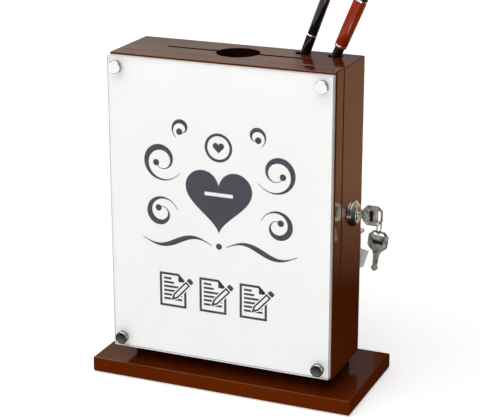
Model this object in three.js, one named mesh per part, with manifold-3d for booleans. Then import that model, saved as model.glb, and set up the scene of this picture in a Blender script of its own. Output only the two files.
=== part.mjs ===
// Counter-top donation box with a hinged front door, a letter-size sign, a side cam lock and pen holes.
// Millimetres. X is to the right, Y to the back and Z up; the origin is under the middle of the base.

import * as THREE from 'three';
import { mergeVertices } from 'three/addons/utils/BufferGeometryUtils.js';
import Module from 'manifold-3d';

const wasm = await Module();
wasm.setup();

// Driving sizes
const gap = 0.3;
const base = { width: 263, depth: 120, underside: 1, top: 15.6, padThick: 0.8, padInset: 6 };
const neck = { width: 204, depth: 49, height: 12.3 };
const box = { width: 220, height: 288.5, depth: 55.8, back: 26, wall: 12, mitreGap: 0.4 };
const backPanel = { thick: 3, rebateWidth: 5, rebateDepth: 3.5 };
const door = { thick: 18.5, gap: 0.7 };
const sign = {
  width: 218, height: 283.6, bottomReveal: 3, backing: 3, sheet: 0.4, sheetInset: 0.3, cover: 3.2,
  layerGap: 0.2,
};
const cap = { radius: 6.15, length: 5, chamfer: 0.8, edgeInset: 9.5 };
const stud = { radius: 2, inDoor: 11, inCap: 2.6 };
const slot = { length: 141.6, width: 4.8, y: -7.8 };
const coinHole = { radius: 20.2 };
const penHole = { radius: 7.25, depth: 17, y: 13, firstX: 55.2, spacing: 30.8 };
const penBlock = { left: 43, right: 97.5, front: 3, back: 22.2, height: 10 };
const hinge = {
  axisOut: 3, length: 44, heights: [84, 262], leafThick: 1.2, leafWidth: 13, leafStart: 3,
  knuckle: 2.6, pinRadius: 1.1, pinHole: 1.4, middleKnuckle: 17, screwSpacing: 15,
};
const lock = {
  z: 174.4, back: 4, rosette: 12, rosetteThick: 4.6, barrel: 8, barrelEnd: 91, bore: 5.3,
  plug: 5, plugFace: 115.1, plugEnd: 90.4, keywayHalf: 3.6, keywayWidth: 2.7, keywayEnd: 98.1,
  nutThick: 3, nutRadius: 12,
};
const cam = { thick: 1.5, reach: 29.1, halfWidth: 3.5, hub: 6.5, hookWidth: 3.5, hookDrop: 6 };
const strike = { left: 82, right: 96.5, thick: 1.5, lipReach: 11, lipTop: 3.8, web: 15, footDrop: 36 };
const key = {
  bow: 18.8, bowCut: 4.2, bowThick: 2.8, bladeThick: 2, shank: 4, shankRoot: 4.4, shankTip: 3.2,
  blade: 16.3, eyeWidth: 2.8, eyeLength: 11, eyeRim: 1.6,
  recess: { length: 4.1, height: 10.6, depth: 0.5, back: 1.2 },
};
const ring = { radius: 6.05, wire: 0.65 };
const spareKeyTilt = THREE.MathUtils.degToRad(6);
const tray = { halfWidth: 109.5, wall: 2, plateTop: 150 };
const peg = { x: 106.4, z: 145.6, radius: 2, reach: 15, shank: 1.2, depth: 12 };
const backScrew = {
  head: 2.3, headThick: 1.2, shank: 1.1, length: 12, fromInside: 2.4, heights: [62, 288],
};
const baseScrew = { head: 4, headThick: 2.6, shank: 2, intoBox: 10, x: 80, y: 14 };
const hingeScrew = { shank: 1.1, length: 10 };
const strikeScrew = { head: 2.6, headThick: 1.2, shank: 1.2, length: 12, x: 89.2, heights: [144, 153] };
const camScrew = { head: 3.4, headThick: 1.5, shank: 1.4, length: 9.2, hole: 7 };
const washer = { radius: 4.2, thick: 0.45, gap: 0.25 };

// Derived places
const boxBottom = base.top + neck.height + 2 * gap;
const boxTop = boxBottom + box.height;
const boxHalf = box.width / 2;
const innerHalf = boxHalf - box.wall;
const boxFront = box.back - box.depth;
const lockY = (box.back + boxFront) / 2 + lock.back;
const doorBack = boxFront - door.gap;
const doorFront = doorBack - door.thick;
const hingeX = -boxHalf - hinge.axisOut;
const hingeY = (boxFront + doorBack) / 2;
const penHoleFloor = boxTop - penHole.depth;
const rebate = { half: innerHalf + backPanel.rebateWidth, front: box.back - backPanel.rebateDepth };
rebate.bottom = boxBottom + box.wall - backPanel.rebateWidth;
rebate.top = boxTop - box.wall + backPanel.rebateWidth;

const lacquer = new THREE.MeshStandardMaterial({ color: 0x5a2305, roughness: 0.15, metalness: 0 });
const rawWood = new THREE.MeshStandardMaterial({ color: 0x9a7248, roughness: 0.8, metalness: 0 });
const hardboard = new THREE.MeshStandardMaterial({ color: 0x3c1a0a, roughness: 0.5, metalness: 0 });
const foam = new THREE.MeshStandardMaterial({ color: 0x161616, roughness: 0.95, metalness: 0 });
const whitePlastic = new THREE.MeshStandardMaterial({ color: 0xf4f4f4, roughness: 0.35, metalness: 0 });
const paper = new THREE.MeshStandardMaterial({ color: 0xfafafa, roughness: 0.9, metalness: 0 });
const acrylic = new THREE.MeshStandardMaterial({
  color: 0xf2f4f6, roughness: 0.05, metalness: 0, transparent: true, opacity: 0.35,
});
const chrome = new THREE.MeshStandardMaterial({ color: 0xd8d8d8, roughness: 0.1, metalness: 1 });
const steel = new THREE.MeshStandardMaterial({ color: 0xa9a9a6, roughness: 0.35, metalness: 1 });
const nickel = new THREE.MeshStandardMaterial({ color: 0x8d8b80, roughness: 0.25, metalness: 1 });
const blackGloss = new THREE.MeshStandardMaterial({ color: 0x0b0b0c, roughness: 0.2, metalness: 0 });
const redGloss = new THREE.MeshStandardMaterial({ color: 0xa52d0c, roughness: 0.25, metalness: 0 });

const group = new THREE.Group();

// Shared tools: closed meshes, booleans and placing

function weld(geometry) {
  const bare = geometry.clone();
  bare.deleteAttribute('normal');
  bare.deleteAttribute('uv');
  const merged = mergeVertices(bare, 1e-4);
  const corners = merged.getAttribute('position');
  const kept = [];
  let volume = 0;
  const a = new THREE.Vector3();
  const b = new THREE.Vector3();
  const c = new THREE.Vector3();
  for (let i = 0; i < merged.index.count; i += 3) {
    const [p, q, r] = [0, 1, 2].map((k) => merged.index.getX(i + k));
    if (p === q || q === r || r === p) continue;
    kept.push([p, q, r]);
    a.fromBufferAttribute(corners, p);
    b.fromBufferAttribute(corners, q);
    c.fromBufferAttribute(corners, r);
    volume += a.dot(b.cross(c));
  }
  merged.setIndex(kept.flatMap(([p, q, r]) => (volume > 0 ? [p, q, r] : [p, r, q])));
  return merged;
}

function toSolid(geometry) {
  const closed = weld(geometry);
  return new wasm.Manifold(new wasm.Mesh({
    numProp: 3,
    vertProperties: new Float32Array(closed.getAttribute('position').array),
    triVerts: new Uint32Array(closed.index.array),
  }));
}

function toGeometry(solid) {
  const mesh = solid.getMesh();
  const geometry = new THREE.BufferGeometry();
  geometry.setAttribute('position', new THREE.BufferAttribute(new Float32Array(mesh.vertProperties), 3));
  geometry.setIndex(new THREE.BufferAttribute(new Uint32Array(mesh.triVerts), 1));
  geometry.computeVertexNormals();
  return geometry;
}

function cut(body, ...tools) {
  let solid = toSolid(body);
  for (const tool of tools) solid = solid.subtract(toSolid(tool));
  return toGeometry(solid);
}

function join(first, ...others) {
  let solid = toSolid(first);
  for (const other of others) solid = solid.add(toSolid(other));
  return toGeometry(solid);
}

function addPart(name, geometry, material, parent = group) {
  const mesh = new THREE.Mesh(weld(geometry), material.clone());
  mesh.name = name;
  mesh.geometry.computeVertexNormals();
  parent.add(mesh);
}

// Identical pieces are numbered nodes, one for each place.
function addEach(name, places, make, material) {
  places.forEach((place, index) => addPart(`${name}_${index + 1}`, make(place), material));
}

function slab(x, y, z) {
  const body = new THREE.BoxGeometry(x[1] - x[0], y[1] - y[0], z[1] - z[0]);
  return body.translate((x[0] + x[1]) / 2, (y[0] + y[1]) / 2, (z[0] + z[1]) / 2);
}

const alongX = new THREE.Matrix4().makeBasis(
  new THREE.Vector3(0, 1, 0), new THREE.Vector3(0, 0, 1), new THREE.Vector3(1, 0, 0));
const alongY = new THREE.Matrix4().makeBasis(
  new THREE.Vector3(0, 0, 1), new THREE.Vector3(1, 0, 0), new THREE.Vector3(0, 1, 0));
const alongZ = new THREE.Matrix4();
const turns = { x: alongX, y: alongY, z: alongZ };

// A round rod or hole from one place to another along an axis; centre gives the two other coordinates.
function rod(axis, radius, from, to, centre, sides = 20) {
  const body = new THREE.CylinderGeometry(radius, radius, to - from, sides);
  body.rotateX(Math.PI / 2).translate(0, 0, (from + to) / 2).applyMatrix4(turns[axis]);
  return body.translate(...centre);
}

// A turned piece: the profile is [radius, place along the axis] pairs.
function turned(axis, profile, centre, sides = 24) {
  const points = profile.map(([radius, along]) => new THREE.Vector2(radius, along));
  const body = new THREE.LatheGeometry(points, sides);
  body.rotateX(Math.PI / 2).applyMatrix4(turns[axis]);
  return body.translate(...centre);
}

function prism(axis, outline, from, to) {
  const shape = new THREE.Shape(outline.map(([u, v]) => new THREE.Vector2(u, v)));
  const body = new THREE.ExtrudeGeometry(shape, { depth: to - from, bevelEnabled: false });
  return body.translate(0, 0, from).applyMatrix4(turns[axis]);
}

const mirrored = (sign) => [-sign, sign];
const pairs = (xs, zs) => xs.flatMap((x) => zs.map((z) => [x, z]));

// A flat-headed screw with its head at one end; direction says which way the point goes.
function screw(axis, head, headThick, shank, length, headPlace, direction, centre) {
  const headEnd = headPlace + direction * headThick;
  const tip = headEnd + direction * length;
  const profile = [[0, headPlace], [head * 0.82, headPlace],
    [head, headPlace + direction * headThick * 0.45], [head, headEnd], [shank, headEnd],
    [shank, tip - direction * shank], [0, tip]];
  return turned(axis, profile, centre, 10);
}

// Base: a foam pad, the board and the neck block, with four long screws up into the box
const padSize = [base.width / 2 - base.padInset, base.depth / 2 - base.padInset];
const baseScrewPlaces = pairs(mirrored(baseScrew.x), mirrored(baseScrew.y));
const baseScrewTip = boxBottom + baseScrew.intoBox;

addPart('base_pad', slab(mirrored(padSize[0]), mirrored(padSize[1]), [0, base.padThick]), foam);

const baseScrewHoles = baseScrewPlaces.map(([x, y]) => rod(
  'z', baseScrew.shank + gap, 0, baseScrewTip + gap, [x, y, 0], 10));
const baseHeadHoles = baseScrewPlaces.map(([x, y]) => rod(
  'z', baseScrew.head + gap, 0, base.underside + baseScrew.headThick + 2 * gap, [x, y, 0], 10));
const baseBoard = slab(mirrored(base.width / 2), mirrored(base.depth / 2), [base.underside, base.top]);
addPart('base_board', cut(baseBoard, ...baseScrewHoles, ...baseHeadHoles), lacquer);

const neckBlock = slab(mirrored(neck.width / 2), mirrored(neck.depth / 2),
  [base.top + gap, base.top + gap + neck.height]);
addPart('neck_block', cut(neckBlock, ...baseScrewHoles), lacquer);

const baseScrewStart = base.underside + gap;
const baseScrewLength = baseScrewTip - baseScrewStart - baseScrew.headThick;
addEach('base_screw', baseScrewPlaces, ([x, y]) => screw(
  'z', baseScrew.head, baseScrew.headThick, baseScrew.shank, baseScrewLength, baseScrewStart, 1,
  [x, y, 0]), steel);

// Shell: four boards mitred at the corners, rebated at the back for a thin panel
const rebateCut = slab(mirrored(rebate.half), [rebate.front, box.back + 1], [rebate.bottom, rebate.top]);
const backScrewPlaces = pairs(mirrored(innerHalf + backScrew.fromInside), backScrew.heights);
const backFace = rebate.front + gap + backPanel.thick;
const backScrewHoles = backScrewPlaces.map(([x, z]) => rod(
  'y', backScrew.shank + gap, backFace - backScrew.length - gap, box.back + 1, [x, 0, z], 8));
const pegHoles = mirrored(peg.x).map((x) => rod(
  'y', peg.shank + gap, box.back - peg.depth - gap, box.back + 1, [x, 0, peg.z], 8));

// A mitred board's end profile, seen from the front, for the side boards (u is X, v is Z)
function sideProfile(side) {
  const low = boxBottom + box.mitreGap;
  const high = boxTop - box.mitreGap;
  return [[side * innerHalf, low + box.wall], [side * boxHalf, low],
    [side * boxHalf, high], [side * innerHalf, high - box.wall]];
}

function levelProfile(outer, inner) {
  return [[-boxHalf, outer], [boxHalf, outer], [innerHalf, inner], [-innerHalf, inner]];
}

// Outlines drawn as [X, Z] become [Z, X] for a prism along Y.
const frontView = (outline) => outline.map(([x, z]) => [z, x]);
const shellBoard = (outline) => prism('y', frontView(outline), boxFront, box.back);

addPart('bottom_board', cut(shellBoard(levelProfile(boxBottom, boxBottom + box.wall)),
  rebateCut, ...baseScrewHoles), lacquer);

const hingeScrewHeights = hinge.heights.flatMap((z) => [-1, 0, 1].map((k) => z + k * hinge.screwSpacing));
const leafOuter = -boxHalf - gap - hinge.leafThick;
const hingeScrewY = (side) => hingeY + side * (hinge.leafStart + hinge.leafWidth / 2);
const hingeScrewHoles = (side) => hingeScrewHeights.map((z) => rod(
  'x', hingeScrew.shank + gap, leafOuter - gap, leafOuter + hingeScrew.length + gap,
  [0, hingeScrewY(side), z], 8));
addPart('left_board', cut(shellBoard(sideProfile(-1)),
  rebateCut, ...backScrewHoles, ...pegHoles, ...hingeScrewHoles(1)), lacquer);

const lockHole = rod('x', lock.barrel + 0.4, innerHalf - 1, boxHalf + 1, [0, lockY, lock.z], 24);
addPart('right_board', cut(shellBoard(sideProfile(1)),
  rebateCut, ...backScrewHoles, ...pegHoles, lockHole), lacquer);

const penHoleXs = [0, 1].map((k) => penHole.firstX + k * penHole.spacing);
const penHoles = penHoleXs.map((x) => rod(
  'z', penHole.radius, penHoleFloor, boxTop + 1, [x, penHole.y, 0], 20));
const slotEnds = slot.length / 2 - slot.width / 2;
const topThrough = [boxTop - box.wall - 1, boxTop + 1];
const slotCut = join(
  slab(mirrored(slotEnds), [slot.y - slot.width / 2, slot.y + slot.width / 2], topThrough),
  ...mirrored(slotEnds).map((x) => rod('z', slot.width / 2, ...topThrough, [x, slot.y, 0], 10)),
  rod('z', coinHole.radius, ...topThrough, [0, slot.y, 0], 36));
addPart('top_board', cut(shellBoard(levelProfile(boxTop, boxTop - box.wall)),
  rebateCut, slotCut, ...penHoles), lacquer);

const panelEdge = rebate.half - gap;
const panelBody = slab(mirrored(panelEdge), [rebate.front + gap, backFace],
  [rebate.bottom + gap, rebate.top - gap]);
addPart('back_panel', cut(panelBody, ...backScrewHoles), hardboard);
addEach('back_screw', backScrewPlaces, ([x, z]) => screw(
  'y', backScrew.head, backScrew.headThick, backScrew.shank, backScrew.length - backScrew.headThick,
  backFace + gap + backScrew.headThick, -1, [x, 0, z]), steel);

const blockTop = boxTop - box.wall - gap;
const blockBody = slab([penBlock.left, penBlock.right], [penBlock.front, penBlock.back],
  [blockTop - penBlock.height, blockTop]);
addPart('pen_block', cut(blockBody, ...penHoles), rawWood);

// Hinges on the left: cabinet leaf behind the seam, door leaf in front, and a pin
const knuckleStep = (hinge.length - hinge.middleKnuckle) / 2;
const hingeNames = ['lower', 'upper'];

function leaf(side, centreZ) {
  const low = centreZ - hinge.length / 2;
  const high = centreZ + hinge.length / 2;
  const knuckles = side > 0
    ? [[low, low + knuckleStep], [high - knuckleStep, high]]
    : [[low + knuckleStep + gap, high - knuckleStep - gap]];
  const plateX = [leafOuter, leafOuter + hinge.leafThick];
  const plateY = [hinge.leafStart, hinge.leafStart + hinge.leafWidth].map((d) => hingeY + side * d);
  const bridgeY = [0, hinge.leafStart + 0.2].map((d) => hingeY + side * d);
  const order = (range) => [...range].sort((a, b) => a - b);
  let body = slab(plateX, order(plateY), [low, high]);
  for (const span of knuckles) {
    body = join(body, slab(plateX, order(bridgeY), span));
    body = join(body, rod('z', hinge.knuckle, ...span, [hingeX, hingeY, 0], 14));
  }
  const pinHole = rod('z', hinge.pinHole, low - 1, high + 1, [hingeX, hingeY, 0], 10);
  return cut(body, pinHole, ...hingeScrewHoles(side));
}

hinge.heights.forEach((z, index) => {
  const name = hingeNames[index];
  addPart(`${name}_hinge_cabinet_leaf`, leaf(1, z), steel);
  addPart(`${name}_hinge_door_leaf`, leaf(-1, z), steel);
  const end = hinge.length / 2 + gap;
  const pinProfile = [[0, -end - 1], [1.6, -end - 1], [2, -end], [hinge.pinRadius, -end],
    [hinge.pinRadius, end], [2, end], [1.6, end + 1], [0, end + 1]];
  addPart(`${name}_hinge_pin`, turned('z', pinProfile, [hingeX, hingeY, z], 10), steel);
});

// Door with its sign: backing, printed sheet and clear cover under four caps
const signHalf = sign.width / 2;
const signZ = [boxBottom + sign.bottomReveal, boxBottom + sign.bottomReveal + sign.height];
const studPlaces = pairs(mirrored(signHalf - cap.edgeInset),
  [signZ[0] + cap.edgeInset, signZ[1] - cap.edgeInset]);
const strikeFace = doorBack + gap + strike.thick;
const strikeScrewHoles = strikeScrew.heights.map((z) => rod(
  'y', strikeScrew.shank + gap, strikeFace - strikeScrew.length - gap, strikeFace + 1,
  [strikeScrew.x, 0, z], 8));
const studHoles = studPlaces.map(([x, z]) => rod(
  'y', stud.radius + gap, doorFront - 1, doorFront + stud.inDoor + gap, [x, 0, z], 10));
const doorBody = slab(mirrored(boxHalf), [doorFront, doorBack], [boxBottom, boxTop]);
addPart('door_board', cut(doorBody, ...studHoles, ...hingeScrewHoles(-1), ...strikeScrewHoles), lacquer);

const signHoles = studPlaces.map(([x, z]) => rod(
  'y', stud.radius + 0.6, doorFront - 12, doorFront, [x, 0, z], 10));
const signLayers = [
  ['sign_backing', sign.backing, whitePlastic, 0],
  ['sign_sheet', sign.sheet, paper, sign.sheetInset],
  ['sign_cover', sign.cover, acrylic, 0],
];
let layerBack = doorFront - gap;
for (const [name, thick, material, inset] of signLayers) {
  const layer = slab(mirrored(signHalf - inset), [layerBack - thick, layerBack],
    [signZ[0] + inset, signZ[1] - inset]);
  addPart(name, cut(layer, ...signHoles), material);
  layerBack -= thick + sign.layerGap;
}

const capBack = layerBack - gap + sign.layerGap;
const capFront = capBack - cap.length;
const capProfile = [[0, capBack - stud.inCap - gap], [stud.radius + gap, capBack - stud.inCap - gap],
  [stud.radius + gap, capBack], [cap.radius, capBack], [cap.radius, capFront + cap.chamfer],
  [cap.radius - cap.chamfer, capFront], [0, capFront]];
const capNames = ['lower_left', 'upper_left', 'lower_right', 'upper_right'];
studPlaces.forEach(([x, z], index) => {
  addPart(`sign_cap_${capNames[index]}`, turned('y', capProfile, [x, 0, z], 24), chrome);
});
addEach('sign_stud', studPlaces, ([x, z]) => rod(
  'y', stud.radius, capBack - stud.inCap, doorFront + stud.inDoor, [x, 0, z], 10), steel);

// Strike: a foot on the door, a web below and a lip that the cam's hook drops in front of
const lipBack = doorBack + strike.lipReach;
const lipTop = lock.z - strike.lipTop;
const webZ = lock.z - strike.web;
const strikeFoot = slab([strike.left, strike.right], [doorBack + gap, strikeFace],
  [lock.z - strike.footDrop, lipTop]);
const strikeWeb = slab([strike.left, strike.right], [doorBack + gap, lipBack],
  [webZ - strike.thick, webZ]);
const strikeLip = slab([strike.left, strike.right], [lipBack - strike.thick, lipBack],
  [webZ - strike.thick, lipTop]);
addPart('strike_plate', cut(join(strikeFoot, strikeWeb, strikeLip), ...strikeScrewHoles), steel);
addEach('strike_screw', strikeScrew.heights, (z) => screw(
  'y', strikeScrew.head, strikeScrew.headThick, strikeScrew.shank, strikeScrew.length - gap,
  strikeFace + gap + strikeScrew.headThick, -1, [strikeScrew.x, 0, z]), steel);

// Cam lock in the right side
const lockCentre = [0, lockY, lock.z];
const flangeBack = boxHalf + gap;
const flangeFront = flangeBack + lock.rosetteThick;
const bodyProfile = [[lock.bore, lock.barrelEnd], [lock.barrel, lock.barrelEnd],
  [lock.barrel, flangeBack], [lock.rosette, flangeBack], [lock.rosette, flangeBack + 1.8],
  [lock.rosette - 2.8, flangeFront], [lock.bore + 0.9, flangeFront], [lock.bore, flangeFront - 0.6],
  [lock.bore, lock.barrelEnd]];
addPart('lock_body', turned('x', bodyProfile, lockCentre, 28), chrome);

const nutBody = rod('x', lock.nutRadius, innerHalf - gap - lock.nutThick, innerHalf - gap, lockCentre, 6);
const nutHole = rod('x', lock.barrel + gap, 80, boxHalf, lockCentre, 28);
addPart('lock_nut', cut(nutBody, nutHole), steel);

const plugBody = rod('x', lock.plug, lock.plugEnd, lock.plugFace, lockCentre, 24);
const keyway = slab([lock.keywayEnd, lock.plugFace + 1],
  [lockY - lock.keywayWidth / 2, lockY + lock.keywayWidth / 2],
  [lock.z - lock.keywayHalf, lock.z + lock.keywayHalf]);
const camScrewHole = rod('x', camScrew.shank + gap, lock.plugEnd - camScrew.length,
  lock.plugEnd + camScrew.hole, lockCentre, 10);
addPart('lock_plug', cut(plugBody, keyway, camScrewHole), chrome);

// The cam points up when unlocked, and its hook looks forward; u is towards the back and v is up.
const camFace = lock.plugEnd - gap;
const camOutline = [
  [cam.halfWidth, 0], [cam.halfWidth, cam.reach], [-cam.halfWidth - cam.hookDrop, cam.reach],
  [-cam.halfWidth - cam.hookDrop, cam.reach - cam.hookWidth], [-cam.halfWidth, cam.reach - cam.hookWidth],
  [-cam.halfWidth, 0],
].map(([u, v]) => [lockY + u, lock.z + v]);
const camBody = join(prism('x', camOutline, camFace - cam.thick, camFace),
  rod('x', cam.hub, camFace - cam.thick, camFace, lockCentre, 20));
addPart('lock_cam', cut(camBody, camScrewHole), steel);

const washerFace = camFace - cam.thick - washer.gap;
const washerBody = rod('x', washer.radius, washerFace - washer.thick, washerFace, lockCentre, 16);
addPart('cam_washer', cut(washerBody, camScrewHole), steel);
const camScrewStart = washerFace - washer.thick - gap - camScrew.headThick;
addPart('cam_screw', screw('x', camScrew.head, camScrew.headThick, camScrew.shank, camScrew.length,
  camScrewStart, 1, lockCentre), steel);

// Keys: an octagonal bow, a tapered shank and a double-sided blade; u is along the key, v across it
const bowHalf = key.bow / 2;
const bowMiddle = key.shank + bowHalf;
const eyeMiddle = key.shank + key.bow - key.eyeRim - key.eyeWidth / 2;

function bothSides(halfOutline) {
  const below = halfOutline.map(([u, v]) => [u, -v]);
  return [...below, ...halfOutline.toReversed()];
}

function keyBody() {
  const bowOutline = bothSides([
    [key.shank, bowHalf - key.bowCut], [key.shank + key.bowCut, bowHalf],
    [key.shank + key.bow - key.bowCut, bowHalf], [key.shank + key.bow, bowHalf - key.bowCut],
  ]);
  const bladeOutline = bothSides([
    [-key.blade, 0.7], [-key.blade + 1.2, 2.1], [-key.blade + 2.6, 3.1], [-key.blade + 4, 3.1],
    [-8.8, 2.2], [-7.6, 2.2], [-6.6, 2.9], [-5.6, 2.2], [-4.4, 2.2], [-3.4, 2.8], [-2.4, 2.6],
    [0, 2.6], [0, key.shankTip], [key.shank + 1, key.shankRoot],
  ]);
  const flat = (outline, thick) => {
    const body = prism('z', outline, -thick / 2, thick / 2);
    return body.rotateX(Math.PI / 2);
  };
  const { length, height, depth, back } = key.recess;
  const recessMiddle = bowMiddle - back;
  const recesses = mirrored(key.bowThick / 2).map((y) => slab(
    [recessMiddle - length / 2, recessMiddle + length / 2], [y - depth, y + depth],
    mirrored(height / 2)));
  const eyeEnd = (key.eyeLength - key.eyeWidth) / 2;
  const eye = join(
    slab([eyeMiddle - key.eyeWidth / 2, eyeMiddle + key.eyeWidth / 2], mirrored(5), mirrored(eyeEnd)),
    ...mirrored(eyeEnd).map((v) => rod('y', key.eyeWidth / 2, -5, 5, [eyeMiddle, 0, v], 10)));
  return cut(join(flat(bowOutline, key.bowThick), flat(bladeOutline, key.bladeThick)), eye, ...recesses);
}

const keyStop = lock.plugFace + gap;
const lockKey = keyBody().translate(keyStop, lockY, lock.z);
addPart('lock_key', lockKey, nickel);

const ringX = keyStop + eyeMiddle;
const ringTop = lock.z - key.eyeLength / 2 + gap + ring.wire;
const ringBottom = ringTop - 2 * ring.radius;
const ringBody = new THREE.TorusGeometry(ring.radius, ring.wire, 8, 28).rotateY(Math.PI / 2);
addPart('key_ring', ringBody.translate(ringX, lockY, ringTop - ring.radius), steel);

// The spare key hangs blade down from the ring's lowest point.
const hangPoint = eyeMiddle + key.eyeWidth / 2 - gap - ring.wire;
const spareKey = keyBody().translate(-hangPoint, 0, 0).rotateY(-Math.PI / 2 + spareKeyTilt);
addPart('spare_key', spareKey.translate(ringX, lockY, ringBottom), nickel);

// Pens standing in the pen holes and leaning on the right rim; profiles are [radius, place from the tip].
function leaningPen(tip, lean, pieces) {
  const holder = new THREE.Group();
  holder.position.set(...tip);
  holder.rotation.y = THREE.MathUtils.degToRad(lean);
  group.add(holder);
  for (const [name, material, profile] of pieces) {
    addPart(name, turned('z', profile, [0, 0, 0], 20), material, holder);
  }
}

leaningPen([51.2, penHole.y, penHoleFloor + 1.2], 20.2, [
  ['black_pen_barrel', blackGloss,
    [[0, 0], [2.65, 0], [3.4, 0.8], [4.4, 12], [4.6, 20], [4.6, 34.4], [0, 34.4]]],
  ['black_pen_band', chrome, [[0, 34.6], [4.75, 34.6], [4.75, 35.9], [0, 35.9]]],
  ['black_pen_cap', blackGloss, [[0, 36.1], [4.6, 36.1], [4.6, 130], [4.1, 136], [2.6, 138], [0, 138]]],
]);

leaningPen([79.8, penHole.y, penHoleFloor + 0.5], 23, [
  ['red_pen_grip', blackGloss,
    [[0, 0], [0.5, 0], [0.7, 2.5], [1.4, 3], [3.4, 11], [4.4, 17], [4.7, 27.4], [0, 27.4]]],
  ['red_pen_band', chrome, [[0, 27.6], [5.9, 27.6], [5.9, 29.9], [0, 29.9]]],
  ['red_pen_barrel', redGloss, [[0, 30.1], [5.9, 30.1], [6.1, 50], [6.2, 74], [0, 74]]],
  ['red_pen_upper_band', chrome, [[0, 74.2], [6.25, 74.2], [6.25, 76], [0, 76]]],
  ['red_pen_cap', blackGloss, [[0, 76.2], [6.1, 76.2], [5.8, 132], [4.9, 140], [2.8, 142], [0, 142]]],
]);

// Clear slip tray across the back, hung on two pegs; outlines are [Y, Z]
const trayBack = box.back + gap;
const trayOutline = [[trayBack, 112.2], [38, 110], [53.2, 120.8], [trayBack + tray.wall, 132],
  [trayBack + tray.wall, tray.plateTop], [trayBack, tray.plateTop]];
const trayHollow = [[trayBack + tray.wall, 113.9], [37.6, 112.1], [51.6, 122.1], [60, 122.1],
  [60, 140], [trayBack + tray.wall, 140]];
const trayBody = cut(prism('x', trayOutline, -tray.halfWidth, tray.halfWidth),
  prism('x', trayHollow, -tray.halfWidth + tray.wall, tray.halfWidth - tray.wall),
  ...mirrored(peg.x).map((x) => rod('y', peg.shank + gap, box.back, 40, [x, 0, peg.z], 8)));
addPart('slip_tray', trayBody, acrylic);

const pegStart = trayBack + tray.wall + gap;
const pegEnd = box.back + peg.reach;
const pegProfile = [[0, box.back - peg.depth], [peg.shank, box.back - peg.depth + 1],
  [peg.shank, pegStart], [peg.radius, pegStart], [peg.radius, pegEnd - 2],
  [peg.radius + 0.4, pegEnd - 1.2], [peg.radius + 0.1, pegEnd - 0.2], [0, pegEnd]];
addEach('tray_peg', mirrored(peg.x), (x) => turned('y', pegProfile, [x, 0, peg.z], 12), chrome);

export default group;
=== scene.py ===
import math
import bpy
from mathutils import Matrix, Vector


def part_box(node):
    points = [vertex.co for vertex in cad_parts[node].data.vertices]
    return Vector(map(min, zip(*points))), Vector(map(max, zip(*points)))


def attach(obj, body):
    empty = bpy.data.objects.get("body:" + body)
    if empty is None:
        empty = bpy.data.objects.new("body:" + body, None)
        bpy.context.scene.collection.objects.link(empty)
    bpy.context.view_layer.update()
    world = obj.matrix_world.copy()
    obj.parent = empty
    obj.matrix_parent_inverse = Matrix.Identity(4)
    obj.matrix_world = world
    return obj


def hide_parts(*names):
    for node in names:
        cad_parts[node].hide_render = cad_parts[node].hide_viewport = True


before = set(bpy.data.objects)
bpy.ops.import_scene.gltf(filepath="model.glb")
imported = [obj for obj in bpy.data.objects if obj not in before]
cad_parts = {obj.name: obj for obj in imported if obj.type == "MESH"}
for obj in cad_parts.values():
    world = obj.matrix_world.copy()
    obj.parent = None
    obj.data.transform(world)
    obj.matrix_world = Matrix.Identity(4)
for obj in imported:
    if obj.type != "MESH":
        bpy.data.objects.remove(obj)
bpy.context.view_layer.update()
print("frame loaded:", len(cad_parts), "nodes")

mm = 0.001
tau = 2 * math.pi
samePoint = 0.002 * mm  # vertices nearer than this are one
turnTo = {"x": (0, math.pi / 2, 0), "y": (-math.pi / 2, 0, 0), "z": (0, 0, 0)}  # local Z to that axis


# selecting and applying

def selectOnly(*pieces):
    bpy.ops.object.select_all(action="DESELECT")
    for piece in pieces:
        piece.select_set(True)
    bpy.context.view_layer.objects.active = pieces[0]


def settle(piece, name=None):
    selectOnly(piece)
    bpy.ops.object.transform_apply(location=True, rotation=True, scale=True)
    if name:
        piece.name = name
        piece.data.name = name
    return piece


def addModifier(piece, kind, **settings):
    selectOnly(piece)
    change = piece.modifiers.new(kind.lower(), kind)
    for key, value in settings.items():
        setattr(change, key, value)
    bpy.ops.object.modifier_apply(modifier=change.name)


def editMesh(piece, *steps):
    selectOnly(piece)
    bpy.ops.object.mode_set(mode="EDIT")
    bpy.ops.mesh.select_all(action="SELECT")
    for step in steps:
        step()
    bpy.ops.object.mode_set(mode="OBJECT")
    return piece


def mergeClose(piece, distance=0.02 * mm):
    return editMesh(piece, lambda: bpy.ops.mesh.remove_doubles(threshold=distance))


def faceOut(piece):
    return editMesh(piece, lambda: bpy.ops.mesh.remove_doubles(threshold=samePoint),
                    lambda: bpy.ops.mesh.normals_make_consistent(inside=False))


def addObject(name, data):
    piece = bpy.data.objects.new(name, data)
    bpy.context.scene.collection.objects.link(piece)
    return piece


def selectEdges(piece, test):
    # picks edges in object mode by their two ends, then leaves edit mode ready for an operator
    selectOnly(piece)
    bpy.ops.object.mode_set(mode="EDIT")
    bpy.ops.mesh.select_mode(type="EDGE")
    bpy.ops.mesh.select_all(action="DESELECT")
    bpy.ops.object.mode_set(mode="OBJECT")
    points = piece.data.vertices
    for edge in piece.data.edges:
        edge.select = test(points[edge.vertices[0]].co, points[edge.vertices[1]].co)
    bpy.ops.object.mode_set(mode="EDIT")


def roundPicked(piece, width, segments, test):
    selectEdges(piece, test)
    bpy.ops.mesh.bevel(offset=width, segments=segments, affect="EDGES")
    bpy.ops.object.mode_set(mode="OBJECT")


# starting shapes

def addBlock(low, high, name="block"):
    low, high = Vector(low), Vector(high)
    bpy.ops.object.select_all(action="DESELECT")
    bpy.ops.mesh.primitive_cube_add(size=1, location=(low + high) / 2)
    block = bpy.context.object
    block.scale = high - low
    return settle(block, name)


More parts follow.
